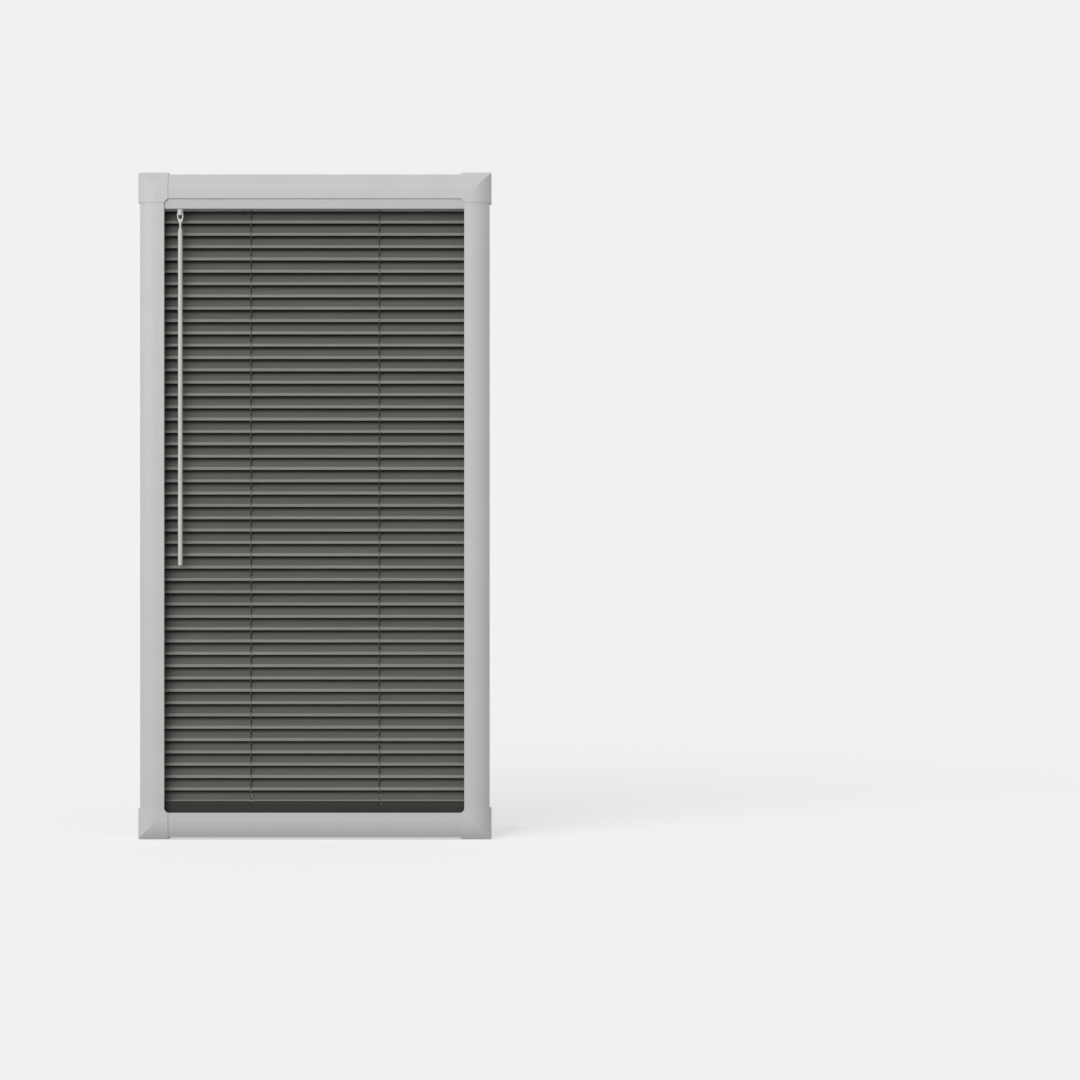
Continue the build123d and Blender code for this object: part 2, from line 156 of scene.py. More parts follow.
# The painted highlight: where its strip starts along the room edge, how soft its border is and how
# much paler it is
painted_highlight_from = 7.5 * mm
painted_highlight_blur = 0.25 * mm
painted_highlight_share = 2.1


def linear(code):
    """Linear colour of an sRGB hex code."""
    shares = [int(code[place : place + 2], 16) / 255 for place in (1, 3, 5)]
    return [s / 12.92 if s <= 0.04045 else ((s + 0.055) / 1.055) ** 2.4 for s in shares]


class BlindSizes(bpy.types.PropertyGroup):
    """Sizes of the pieces that are modelled here"""

    slat_length: FloatProperty(
        name="Slat length",
        description="Length of a slat from end to end",
        default=slat_high.x - slat_low.x,
        unit="LENGTH",
    )
    slat_width: FloatProperty(
        name="Slat width",
        description="Width of a slat across its flat face",
        default=25.4 * mm,
        unit="LENGTH",
    )
    slat_thickness: FloatProperty(
        name="Slat thickness",
        description="Thickness of a slat, whose edges are half rounds",
        default=2.5 * mm,
        unit="LENGTH",
    )
    rest_tilt: FloatProperty(
        name="Rest tilt",
        description="How far the slats' room edges hang below level at rest",
        default=radians(62),
        subtype="ANGLE",
    )
    ladder_spread: FloatProperty(
        name="Ladder spread",
        description="Distance of each ladder from the middle of the blind",
        default=(cord_high.x - cord_low.x) / 2 - cord_radius,
        unit="LENGTH",
    )
    ladder_reach: FloatProperty(
        name="Ladder reach",
        description="Distance of each ladder cord from the middle of a slat",
        default=15.5 * mm,
        unit="LENGTH",
    )
    route_length: FloatProperty(
        name="Route hole length",
        description="Length of the hole in a slat for the guide cord",
        default=9.6 * mm,
        unit="LENGTH",
    )
    route_width: FloatProperty(
        name="Route hole width",
        description="Width of the hole in a slat for the guide cord",
        default=2.8 * mm,
        unit="LENGTH",
    )
    rung_width: FloatProperty(
        name="Rung width",
        description="Width of the woven tapes under each slat",
        default=1.2 * mm,
        unit="LENGTH",
    )
    rung_thickness: FloatProperty(
        name="Rung thickness",
        description="Thickness of the woven tapes under each slat",
        default=0.5 * mm,
        unit="LENGTH",
    )
    fork_radius: FloatProperty(
        name="Fork radius",
        description="Radius of the collar that holds the wand",
        default=(stem_high.x - stem_low.x) / 2,
        unit="LENGTH",
    )
    fork_slot: FloatProperty(
        name="Fork slot",
        description="Width of the collar's slot for the wand's eye",
        default=3.6 * mm,
        unit="LENGTH",
    )
    wand_radius: FloatProperty(
        name="Wand radius",
        description="Radius of the wand below its neck",
        default=(wand_high.y - wand_low.y) / 2,
        unit="LENGTH",
    )
    neck_radius: FloatProperty(
        name="Neck radius",
        description="Radius of the wand's neck below its eye",
        default=2.0 * mm,
        unit="LENGTH",
    )
    eye_thickness: FloatProperty(
        name="Eye thickness",
        description="Thickness of the wand's flat eye",
        default=3.0 * mm,
        unit="LENGTH",
    )


class BlindColours(bpy.types.PropertyGroup):
    """Colours of the blind's finishes and of its studio"""

    frame: FloatVectorProperty(
        name="Frame",
        description="Colour of the extruded frame profiles",
        default=linear("#c2c2c2"),
        subtype="COLOR",
    )
    covers: FloatVectorProperty(
        name="Corner covers",
        description="Colour of the moulded corner covers",
        default=linear("#c4c4c4"),
        subtype="COLOR",
    )
    headrail: FloatVectorProperty(
        name="Headrail",
        description="Colour of the headrail's enamel",
        default=linear("#b7b7b7"),
        subtype="COLOR",
    )
    mechanism: FloatVectorProperty(
        name="Mechanism",
        description="Colour of the moulded tilter and cradles",
        default=linear("#c2c2c0"),
        subtype="COLOR",
    )
    slats: FloatVectorProperty(
        name="Slats",
        description="Middle colour of the slats' stained wood",
        default=linear("#605f5b"),
        subtype="COLOR",
    )
    rail: FloatVectorProperty(
        name="Bottom rail",
        description="Middle colour of the bottom rail's stained wood",
        default=linear("#3c3b38"),
        subtype="COLOR",
    )
    cord: FloatVectorProperty(
        name="Cords",
        description="Colour of the ladders and the guide cords",
        default=linear("#403e3b"),
        subtype="COLOR",
    )
    wand: FloatVectorProperty(
        name="Wand",
        description="Colour of the wand",
        default=linear("#c6c6c5"),
        subtype="COLOR",
    )
    background: FloatVectorProperty(
        name="Background",
        description="Colour that the camera sees behind the blind",
        default=linear("#f1f1f1"),
        subtype="COLOR",
    )


# Materials


def add_node(tree, kind, inputs=None, **settings):
    """Adds a node with its settings, and sets each input to a value or links it to a socket."""
    node = tree.nodes.new(kind)
    for name, value in settings.items():
        setattr(node, name, value)
    for name, value in (inputs or {}).items():
        if isinstance(value, bpy.types.NodeSocket):
            tree.links.new(value, node.inputs[name])
        else:
            node.inputs[name].default_value = value
    return node


def opaque(colour, share=1.0):
    """A colour as the four numbers that a shader takes, darkened to a share of itself."""
    return [value * share for value in colour] + [1.0]


def start_material(name):
    """A new material with an empty node tree, and its object coordinates."""
    material = bpy.data.materials.new(name)
    material.use_nodes = True
    tree = material.node_tree
    tree.nodes.clear()
    return material, tree, add_node(tree, "ShaderNodeTexCoord").outputs["Object"]


def grain_noise(tree, coordinates, grain, detail=2.0, shift=None):
    """Noise whose blotches have one real size, in metres, along each axis."""
    frequency = [1 / size for size in grain]
    scaled = add_node(
        tree, "ShaderNodeVectorMath", {0: coordinates, 1: frequency}, operation="MULTIPLY"
    ).outputs[0]
    if shift is not None:
        scaled = add_node(
            tree, "ShaderNodeVectorMath", {0: scaled, 1: shift}, operation="ADD"
        ).outputs[0]
    noise = add_node(
        tree, "ShaderNodeTexNoise", {"Vector": scaled, "Scale": 1.0, "Detail": detail}
    )
    return noise.outputs[0]


def spread(tree, value, low, high, start=0.3, stop=0.7):
    """Turns noise into a number between low and high."""
    return add_node(
        tree,
        "ShaderNodeMapRange",
        {"Value": value, "From Min": start, "From Max": stop, "To Min": low, "To Max": high},
    ).outputs[0]


def blend(tree, factor, first, second, way="MIX"):
    """Mixes two colours by a number."""
    return add_node(
        tree,
        "ShaderNodeMix",
        {0: factor, 6: first, 7: second},
        data_type="RGBA",
        blend_type=way,
    ).outputs[2]


def finish_material(material, tree, colour, roughness, height=None, relief=0.0, **constants):
    """Closes a material with one shader, whose relief is the height of its bumps in metres."""
    shader = add_node(tree, "ShaderNodeBsdfPrincipled", {"Base Color": colour, "Roughness": roughness})
    for name, value in constants.items():
        shader.inputs[name.replace("_", " ")].default_value = value
    if height is not None:
        bump = add_node(
            tree, "ShaderNodeBump", {"Height": height, "Distance": relief, "Strength": 1.0}
        )
        tree.links.new(bump.outputs[0], shader.inputs["Normal"])
    add_node(tree, "ShaderNodeOutputMaterial", {"Surface": shader.outputs[0]})
    return material


def extruded_pvc(colour):
    """Satin PVC, extruded: faint die lines along each profile, and a very even colour."""
    material, tree, place = start_material("extruded_satin_pvc")
    parts = add_node(tree, "ShaderNodeSeparateXYZ", {0: place})
    across = add_node(tree, "ShaderNodeMath", {0: parts.outputs["X"]}, operation="ABSOLUTE")
    upright = add_node(
        tree,
        "ShaderNodeMath",
        {0: across.outputs[0], 1: frame_high.x - profile_face},
        operation="GREATER_THAN",
    ).outputs[0]
    # The die lines run along z on the uprights, and along x on the top and bottom profiles
    lines_up = grain_noise(tree, place, (0.9 * mm, 0.9 * mm, 400 * mm))
    lines_across = grain_noise(tree, place, (400 * mm, 0.9 * mm, 0.9 * mm))
    lines = add_node(
        tree, "ShaderNodeMix", {0: upright, 2: lines_across, 3: lines_up}, data_type="FLOAT"
    ).outputs[0]
    clouds = grain_noise(tree, place, (60 * mm, 60 * mm, 60 * mm))
    shade = blend(tree, spread(tree, clouds, 0.0, 1.0), opaque(colour, 0.985), opaque(colour, 1.015))
    roughness = spread(tree, lines, 0.38, 0.44)
    return finish_material(
        material, tree, shade, roughness, lines, 0.012 * mm, IOR=1.53, Specular_IOR_Level=0.4
    )


def moulded_abs(colour):
    """Satin ABS, moulded in a spark-eroded tool: a fine even texture that dulls the sheen."""
    material, tree, place = start_material("moulded_satin_abs")
    sparks = grain_noise(tree, place, (0.7 * mm, 0.7 * mm, 0.7 * mm), detail=3.0)
    clouds = grain_noise(tree, place, (25 * mm, 25 * mm, 25 * mm))
    shade = blend(tree, spread(tree, clouds, 0.0, 1.0), opaque(colour, 0.985), opaque(colour, 1.01))
    roughness = spread(tree, sparks, 0.42, 0.5)
    return finish_material(
        material, tree, shade, roughness, sparks, 0.02 * mm, IOR=1.53, Specular_IOR_Level=0.4
    )


def stove_enamel(colour):
    """Stove enamel on folded steel: a soft gloss with a slight orange peel."""
    material, tree, place = start_material("stove_enamelled_steel")
    peel = grain_noise(tree, place, (1.8 * mm, 1.8 * mm, 1.8 * mm), detail=1.0)
    drift = grain_noise(tree, place, (90 * mm, 12 * mm, 12 * mm))
    shade = blend(tree, spread(tree, drift, 0.0, 1.0), opaque(colour, 0.98), opaque(colour, 1.01))
    roughness = spread(tree, drift, 0.3, 0.36)
    return finish_material(material, tree, shade, roughness, peel, 0.01 * mm, IOR=1.5)


def moulded_acetal(colour):
    """Acetal, injection moulded: matt and slightly waxy."""
    material, tree, place = start_material("moulded_acetal")
    texture = grain_noise(tree, place, (0.5 * mm, 0.5 * mm, 0.5 * mm))
    flow = grain_noise(tree, place, (8 * mm, 8 * mm, 20 * mm))
    shade = blend(tree, spread(tree, flow, 0.0, 1.0), opaque(colour, 0.97), opaque(colour, 1.02))
    roughness = spread(tree, flow, 0.36, 0.44)
    return finish_material(material, tree, shade, roughness, texture, 0.01 * mm, IOR=1.48)


def drawn_steel():
    """Bright steel bar, cold drawn: fine bright lines along the bar."""
    material, tree, place = start_material("cold_drawn_steel")
    lines = grain_noise(tree, place, (120 * mm, 0.5 * mm, 0.5 * mm))
    steel = linear("#b9babb")
    shade = blend(tree, spread(tree, lines, 0.0, 1.0), opaque(steel, 0.85), opaque(steel, 1.05))
    roughness = spread(tree, lines, 0.24, 0.38)
    return finish_material(material, tree, shade, roughness, lines, 0.01 * mm, Metallic=1.0)


def paint_shade_and_highlight(tree, place, tone):
    """Paints shade on a board toward its back edge, where the slat above shades it, and paints a
    highlight as a paler strip along its room edge.
    """
    parts = add_node(tree, "ShaderNodeSeparateXYZ", {0: place})
    across = parts.outputs["Y"]
    # Painted shade: darker toward the back edge, under the slat above
    shaded = spread(tree, across, 1.0, painted_shade_share, painted_shade_from, painted_shade_to)
    # Painted highlight: a paler strip along the room edge, where the light strikes
    edge_highlight = spread(
        tree, across, painted_highlight_share, 1.0, -painted_highlight_from - painted_highlight_blur, painted_highlight_blur - painted_highlight_from
    )
    share = add_node(tree, "ShaderNodeMath", {0: shaded, 1: edge_highlight}, operation="MULTIPLY")
    return add_node(
        tree, "ShaderNodeVectorMath", {0: tone, "Scale": share.outputs[0]}, operation="SCALE"
    ).outputs[0]


def stained_wood(name, colour, roughness, gloss, has_painted_light):
    """Basswood under a dark stain and a satin lacquer: straight grain, fine pores and soft bands.

    A board with painted light gets painted shade toward its back edge and a painted highlight, a paler
    strip, along its room edge.
    """
    material, tree, place = start_material(name)
    # Each board is cut from another place in the tree, so its grain is moved by a number of its own
    chance = add_node(tree, "ShaderNodeObjectInfo").outputs["Random"]
    shift = add_node(
        tree, "ShaderNodeVectorMath", {0: chance, 1: [91.0, 37.0, 53.0]}, operation="MULTIPLY"
    ).outputs[0]
    bands = grain_noise(tree, place, (260 * mm, 5 * mm, 5 * mm), 2.0, shift)
    fibres = grain_noise(tree, place, (55 * mm, 0.9 * mm, 0.9 * mm), 3.0, shift)
    pores = grain_noise(tree, place, (7 * mm, 0.45 * mm, 0.45 * mm), 1.0, shift)
    tone = blend(tree, spread(tree, bands, 0.0, 1.0), opaque(colour, 0.9), opaque(colour, 1.08))
    tone = blend(tree, spread(tree, fibres, 0.0, 0.35), tone, opaque(colour, 0.74))
    tone = blend(tree, spread(tree, pores, 0.0, 0.45, 0.62, 0.72), tone, opaque(colour, 0.55))
    board = spread(tree, chance, 0.95, 1.05, 0.0, 1.0)
    board_tint = add_node(tree, "ShaderNodeCombineColor", {0: board, 1: board, 2: board}).outputs[0]
    tone = blend(tree, 1.0, tone, board_tint, "MULTIPLY")
    # Painted shade and painted highlight, for boards that carry painted light
    if has_painted_light:
        tone = paint_shade_and_highlight(tree, place, tone)
    dull = spread(tree, fibres, roughness - 0.02, roughness + 0.03)
    return finish_material(
        material, tree, tone, dull, fibres, 0.02 * mm, IOR=1.5, Specular_IOR_Level=gloss
    )


def braided_polyester(name, colour, strand):
    """Polyester yarn, braided: small slanting ridges, drawn coarser than the real 0.4 mm."""
    material, tree, place = start_material(name)
    one_way = add_node(
        tree,
        "ShaderNodeVectorMath",
        {0: place, 1: [0.5 / strand, 0.5 / strand, 1 / strand]},
        operation="MULTIPLY",
    ).outputs[0]
    other_way = add_node(
        tree,
        "ShaderNodeVectorMath",
        {0: place, 1: [-0.5 / strand, -0.5 / strand, 1 / strand]},
        operation="MULTIPLY",
    ).outputs[0]
    ridges = [
        add_node(
            tree, "ShaderNodeTexWave", {"Vector": way, "Scale": 0.628}, bands_direction="DIAGONAL"
        ).outputs[1]
        for way in (one_way, other_way)
    ]
    weave = add_node(tree, "ShaderNodeMath", {0: ridges[0], 1: ridges[1]}, operation="MAXIMUM")
    shade = blend(tree, weave.outputs[0], opaque(colour, 0.85), opaque(colour, 1.05))
    fuzz = grain_noise(tree, place, (0.6 * mm, 0.6 * mm, 3 * mm))
    roughness = spread(tree, fuzz, 0.72, 0.88)
    return finish_material(
        material, tree, shade, roughness, weave.outputs[0], 0.05 * mm, IOR=1.5, Sheen_Weight=0.2
    )


def drawn_acrylic(colour):
    """Acrylic rod, extruded and polished: a clean gloss with slight drawing lines."""
    material, tree, place = start_material("polished_acrylic")
    lines = grain_noise(tree, place, (0.8 * mm, 0.8 * mm, 150 * mm))
    haze = grain_noise(tree, place, (15 * mm, 15 * mm, 40 * mm))
    shade = blend(tree, spread(tree, haze, 0.0, 1.0), opaque(colour, 0.98), opaque(colour, 1.01))
    roughness = spread(tree, haze, 0.2, 0.28)
    return finish_material(material, tree, shade, roughness, lines, 0.004 * mm, IOR=1.49)


def seen_directly(tree):
    """1 for what the camera sees, also in a gloss or through glass, and 0 for light on the blind."""
    rays = add_node(tree, "ShaderNodeLightPath")
    seen = rays.outputs["Is Camera Ray"]
    for kind in ("Is Glossy Ray", "Is Transmission Ray"):
        seen = add_node(
            tree, "ShaderNodeMath", {0: seen, 1: rays.outputs[kind]}, operation="MAXIMUM"
        ).outputs[0]
    return seen


def studio_floor(colour, lift):
    """Grey painted board with a matt roller finish, which is seen as pale as the background."""
    material, tree, place = start_material("matt_painted_board")
    stipple = grain_noise(tree, place, (3 * mm, 3 * mm, 3 * mm))
    shade = blend(tree, spread(tree, stipple, 0.0, 1.0), opaque(colour, 0.998), opaque(colour, 1.002))
    board = add_node(tree, "ShaderNodeBsdfDiffuse", {"Color": shade})
    strength = add_node(
        tree, "ShaderNodeMath", {0: seen_directly(tree), 1: lift}, operation="MULTIPLY"
    )
    glow = add_node(
        tree, "ShaderNodeEmission", {"Color": opaque([1, 1, 1]), "Strength": strength.outputs[0]}
    )
    both = add_node(tree, "ShaderNodeAddShader", {0: board.outputs[0], 1: glow.outputs[0]})
    add_node(tree, "ShaderNodeOutputMaterial", {"Surface": both.outputs[0]})
    return material


def dress(name, material):
    """Gives a CAD node its material."""
    mesh = nodes[name].data
    mesh.materials.clear()
    mesh.materials.append(material)


# Mesh helpers


def add_face(shape, corners):
    """Adds one face on corners of its own, which make_piece joins to its neighbours."""
    return shape.faces.new([shape.verts.new(corner) for corner in corners])


def add_rings(shape, rings, closed_ends=True):
    """Adds a skin over a row of rings that have as many points each."""
    count = len(rings[0])
    for first, second in zip(rings, rings[1:]):
        for place in range(count):
            after = (place + 1) % count
            add_face(shape, [first[place], first[after], second[after], second[place]])
    if closed_ends:
        add_face(shape, rings[0])
        add_face(shape, rings[-1])


def add_turned(shape, profile, place, segments=32):
    """Adds a turned form, whose profile gives radius and height along its own z axis."""
    rings = [
        [
            place @ Vector((radius * cos(angle), radius * sin(angle), height))
            for angle in (2 * pi * step / segments for step in range(segments))
        ]
        for radius, height in profile
    ]
    add_rings(shape, rings)


def make_piece(name, shape, materials, body, place, replaced=None, rounding=0.0):
    """Turns a bmesh into a piece of the blind that rides on a CAD body."""
    bmesh.ops.remove_doubles(shape, verts=shape.verts, dist=join_within)
    bmesh.ops.recalc_face_normals(shape, faces=shape.faces)
    mesh = bpy.data.meshes.new(name)
    shape.to_mesh(mesh)
    shape.free()
    for material in materials:
        mesh.materials.append(material)
    mesh.shade_smooth()
    mesh.set_sharp_from_angle(angle=smooth_below)
    piece = bpy.data.objects.new(name, mesh)
    bpy.context.collection.objects.link(piece)
    piece.matrix_world = place
    if rounding:
        bevel = piece.modifiers.new("Rounded edges", "BEVEL")
        bevel.width = rounding
        bevel.segments = 3
        bevel.limit_method = "ANGLE"
        bevel.angle_limit = smooth_below
    normals = piece.modifiers.new("Flat faces stay flat", "WEIGHTED_NORMAL")
    normals.keep_sharp = True
    bpy.context.view_layer.update()
    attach(piece, body)
    if replaced:
        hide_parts(replaced)
    return piece


# Slats


def slat_section(sizes, inset):
    """Section of a slat across its width, with half-round edges, made smaller by an inset."""
    half = sizes.slat_thickness / 2
    radius = half - inset
    flat = sizes.slat_width / 2 - half
    points = []
    for side, start in ((1, -pi / 2), (-1, pi / 2)):
        for step in range(nose_steps + 1):
            angle = start + pi * step / nose_steps
            points.append((side * flat + radius * cos(angle), radius * sin(angle)))
    return points


def route_outline(sizes, middle, height, grow):
    """A route hole's edge, quarter by quarter, at one height and widened by a little."""
    radius = sizes.route_width / 2 + grow
    straight = (sizes.route_length - sizes.route_width) / 2
    quarters = []
    for quarter, lift in enumerate((straight, straight, -straight, -straight)):
        angles = [(quarter + step / route_arc_steps) * pi / 2 for step in range(route_arc_steps + 1)]
        quarters.append(
            [
                Vector((middle + radius * cos(angle), lift + radius * sin(angle), height))
                for angle in angles
            ]
        )
    return quarters


def add_route_cell(shape, sizes, middle, height, edge):
    """Adds the part of a slat's face round a route hole."""
    reach_x, reach_y = route_cell
    corners = [
        Vector((middle + side * reach_x, end * reach_y, height))
        for side, end in ((1, 1), (-1, 1), (-1, -1), (1, -1))
    ]
    for quarter in range(4):
        arc = edge[quarter]
        for first, second in zip(arc, arc[1:]):
            add_face(shape, [corners[quarter], first, second])
        after = (quarter + 1) % 4
        if (arc[-1] - edge[after][0]).length > join_within:
            add_face(shape, [corners[quarter], arc[-1], edge[after][0], corners[after]])
        else:
            add_face(shape, [corners[quarter], arc[-1], corners[after]])


def add_board(shape, sizes):
    """Adds a slat: flat faces, half-round edges, eased ends and two route holes."""
    half = sizes.slat_thickness / 2
    flat = sizes.slat_width / 2 - half
    end = sizes.slat_length / 2
    spread_x = sizes.ladder_spread
    reach_x, reach_y = route_cell
    stations = [slat_end_ease - end]
    for middle in (-spread_x, spread_x):
        stations += [middle - reach_x, middle + reach_x]
    stations.append(end - slat_end_ease)

    full, eased = slat_section(sizes, 0.0), slat_section(sizes, slat_end_ease)
    for side in (-1, 1):
        outer = [Vector((side * end, y, z)) for y, z in eased]
        inner = [Vector((side * (end - slat_end_ease), y, z)) for y, z in full]
        for place in range(len(full)):
            after = (place + 1) % len(full)
            add_face(shape, [outer[place], outer[after], inner[after], inner[place]])
        add_face(shape, outer)

    for start, stop in zip(stations, stations[1:]):
        for first, second in zip(full, full[1:]):
            if abs(first[0]) >= flat and abs(second[0]) >= flat and first[0] * second[0] > 0:
                add_face(
                    shape,
                    [(start, *first), (stop, *first), (stop, *second), (start, *second)],
                )
        holed = abs(stop - start - 2 * reach_x) < join_within
        for height in (-half, half):
            for low, high in ((-flat, -reach_y), (-reach_y, reach_y), (reach_y, flat)):
                if holed and low == -reach_y:
                    continue
                add_face(
                    shape,
                    [
                        (start, low, height),
                        (stop, low, height),
                        (stop, high, height),
                        (start, high, height),
                    ],
                )

    for middle in (-spread_x, spread_x):
        edges = [
            route_outline(sizes, middle, height, grow)
            for height, grow in (
                (half, route_ease),
                (half - route_ease, 0.0),
                (route_ease - half, 0.0),
                (-half, route_ease),
            )
        ]
        add_route_cell(shape, sizes, middle, half, edges[0])
        add_route_cell(shape, sizes, middle, -half, edges[-1])
        rings = []
        for edge in edges:
            ring = []
            for arc in edge:
                ring += [point for point in arc if not ring or (point - ring[-1]).length > same_point]
            rings.append(ring)
        add_rings(shape, rings, closed_ends=False)


def add_tape(shape, sizes, cord_x, offset):
    """Adds one woven tape under the slat, beside the route hole, from ladder cord to ladder cord."""
    tape_x = cord_x + offset
    below = -sizes.slat_thickness / 2 - rung_gap - sizes.rung_thickness / 2
    reach = sizes.ladder_reach
    bend, climb = rung_bend
    half_path = [
        (tape_x, bend, below),
        (tape_x - offset / 4, climb, rung_climb_share * below),
        (cord_x + offset / 4, reach, 0.0),
    ]
    path = [Vector((x, -y, z)) for x, y, z in reversed(half_path)]
    path += [Vector((x, y, z)) for x, y, z in half_path]
    rings = []
    for place, point in enumerate(path):
        before, after = path[max(place - 1, 0)], path[min(place + 1, len(path) - 1)]
        along = (after - before).normalized()
        up = Vector((0.0, -along.z, along.y)).normalized()
        ring = []
        for step in range(rung_sides):
            angle = 2 * pi * (step + 0.5) / rung_sides
            ring.append(
                point
                + Vector((sizes.rung_width / 2 * cos(angle), 0.0, 0.0))
                + up * (sizes.rung_thickness / 2 * sin(angle))
            )
        rings.append(ring)
    add_rings(shape, rings)


def add_rung(shape, sizes, side):
    """Adds a rung: a tape on each side of the route hole, knotted to the two ladder cords."""
    cord_x = side * sizes.ladder_spread
    start = len(shape.faces)
    for offset in (-rung_side, rung_side):
        add_tape(shape, sizes, cord_x, offset)
    for end in (-sizes.ladder_reach, sizes.ladder_reach):
        profile = [
            (knot_radius * sin(pi * step / knot_steps), -knot_radius * cos(pi * step / knot_steps))
            for step in range(1, knot_steps)
        ]
        add_turned(shape, profile, Matrix.Translation((cord_x, end, 0.0)), segments=10)
    shape.faces.ensure_lookup_table()
    for face in shape.faces[start:]:
        face.material_index = 1


class MakeSlats(bpy.types.Operator):
    """Makes the slats, each with a rung at either ladder"""

    bl_idname = "blind.slats"
    bl_label = "Slats"

    def execute(self, context):
        sizes, colours = context.scene.blind_sizes, context.scene.blind_colours
        # The slats' colour carries painted shade under the slat above and a painted highlight along
        # the room edge
        wood = stained_wood("stained_basswood", colours.slats, 0.45, 0.22, True)
        tape = braided_polyester("woven_ladder_tape", colours.cord, 0.9 * mm)
        for body in slat_bodies:
            shape = bmesh.new()
            add_board(shape, sizes)
            for side in (-1, 1):
                add_rung(shape, sizes, side)
            place = Matrix.Translation(pivots[body]) @ Matrix.Rotation(sizes.rest_tilt, 4, "X")
            make_piece(f"{body}_board", shape, (wood, tape), body, place, body)
        return {"FINISHED"}


# Tilter and wand


def hull_reach(circles, direction):
    """How far the outline that is drawn tight round some circles lies from the origin."""
    reaches = []
    for step in range(360):
        normal = Vector((cos(radians(step)), sin(radians(step))))
        facing = direction.dot(normal)
        if facing > least_facing:
            support = max(Vector(centre).dot(normal) + radius for centre, radius in circles)
            reaches.append(support / facing)
    return min(reaches)


def add_eye(shape, sizes):
    """Adds the wand's eye: a flat ring with rounded edges that runs down into the neck."""
    middle = (eye_hole_top + eye_hole_bottom) / 2
    hole = [((0, end - middle), eye_hole_radius) for end in (eye_hole_top, eye_hole_bottom)]
    outer = [
        ((0, eye_hole_top - middle), eye_head_radius),
        ((0, eye_waist - middle), eye_waist_radius),
        ((0, eye_foot - middle), sizes.neck_radius),
    ]
    half = sizes.eye_thickness / 2
    corner = eye_corner
    rings = []
    for turn in range(eye_turns + 1):
        angle = 2 * pi * turn / eye_turns
        direction = Vector((cos(angle), sin(angle)))
        inner_reach, outer_reach = hull_reach(hole, direction), hull_reach(outer, direction)
        centres = (
            (outer_reach - corner, half - corner, 0.0),
            (inner_reach + corner, half - corner, pi / 2),
            (inner_reach + corner, corner - half, pi),
            (outer_reach - corner, corner - half, 1.5 * pi),
        )
        ring = []
        for reach, depth, start in centres:
            for step in range(eye_corner_steps + 1):
                bend = start + pi / 2 * step / eye_corner_steps
                flat_reach = reach + corner * cos(bend)
                ring.append(
                    Vector(
                        (
                            direction.x * flat_reach,
                            depth + corner * sin(bend),
                            middle + direction.y * flat_reach,
                        )
                    )
                )
        rings.append(ring)
    add_rings(shape, rings, closed_ends=False)


def add_rod(shape, sizes):
    """Adds the wand below its eye: a neck, a flare and a long round rod with a rounded end."""
    neck, full = sizes.neck_radius, sizes.wand_radius
    foot = wand_low.z - pin.z
    quarter = [pi / 2 * step / round_steps for step in range(1, round_steps + 1)]
    profile = [(rod_root_flat, rod_root)]
    profile += [
        (neck * sin(angle), rod_root - rod_root_round * (1 - cos(angle))) for angle in quarter
    ]
    for step in range(flare_steps + 1):
        share = step / flare_steps
        ease = share * share * (3 - 2 * share)
        profile.append(
            (neck + (full - neck) * ease, flare_top + (flare_bottom - flare_top) * share)
        )
    profile.append((full, foot + rod_end_round))
    profile += [
        (full - rod_end_round * (1 - cos(angle)), foot + rod_end_round * (1 - sin(angle)))
        for angle in quarter
    ]
    add_turned(shape, profile, Matrix.Identity(4), segments=48)


def add_fork(shape, sizes):
    """Adds the collar with its slot, the pin across it and the shaft above it, about the pin."""
    radius, half_slot = sizes.fork_radius, sizes.fork_slot / 2
    top = fork_height - (pin.z - stem_low.z)
    ceiling = top - fork_roof
    bottom = top - fork_height
    side = asin(half_slot / radius)
    arcs = []
    for start, stop, steps in (
        (-side, side, 6),
        (side, pi - side, 24),
        (pi - side, pi + side, 6),
        (pi + side, 2 * pi - side, 24),
    ):
        angles = [start + (stop - start) * step / steps for step in range(steps + 1)]
        arcs.append([(radius * cos(angle), radius * sin(angle)) for angle in angles])
    right, back, left, front = arcs
    rim = [point for arc in arcs for point in arc[:-1]]

    def wall(points, low, high):
        for first, second in zip(points, points[1:]):
            add_face(shape, [(*first, low), (*second, low), (*second, high), (*first, high)])

    add_face(shape, [(*point, top) for point in rim])
    wall(rim + rim[:1], ceiling, top)
    add_face(shape, [(*point, ceiling) for point in right + left])
    for prong in (back, front):
        wall(prong, bottom, ceiling)
        wall([prong[0], prong[-1]], bottom, ceiling)
        add_face(shape, [(*point, bottom) for point in prong])
    lying = Matrix.Rotation(pi / 2, 4, "X")
    add_turned(
        shape, [(pin_radius, -pin_half_length), (pin_radius, pin_half_length)], lying, segments=24
    )
    shaft_top = stem_high.z - pin.z
    add_turned(
        shape,
        [(shaft_radius, top - fork_roof / 2), (shaft_radius, shaft_top)],
        Matrix.Identity(4),
        segments=32,
    )


class MakeTilter(bpy.types.Operator):
    """Makes the tilter's stem and the wand, and dresses the tilter's housing"""

    bl_idname = "blind.tilter"
    bl_label = "Tilter and wand"

    def execute(self, context):
        sizes, colours = context.scene.blind_sizes, context.scene.blind_colours
        acetal = moulded_acetal(colours.mechanism)
        acrylic = drawn_acrylic(colours.wand)
        place = Matrix.Translation(pin)
        stem = bmesh.new()
        add_fork(stem, sizes)
        make_piece(
            "stem_fork", stem, (acetal,), "tilter_stem", place,
            "tilter_stem", fork_round,
        )
        wand = bmesh.new()
        add_eye(wand, sizes)
        add_rod(wand, sizes)
        make_piece("tilt_wand", wand, (acrylic,), "wand", place, "wand")
        dress("tilter_housing", acetal)
        dress("rod_cradles", acetal)
        return {"FINISHED"}


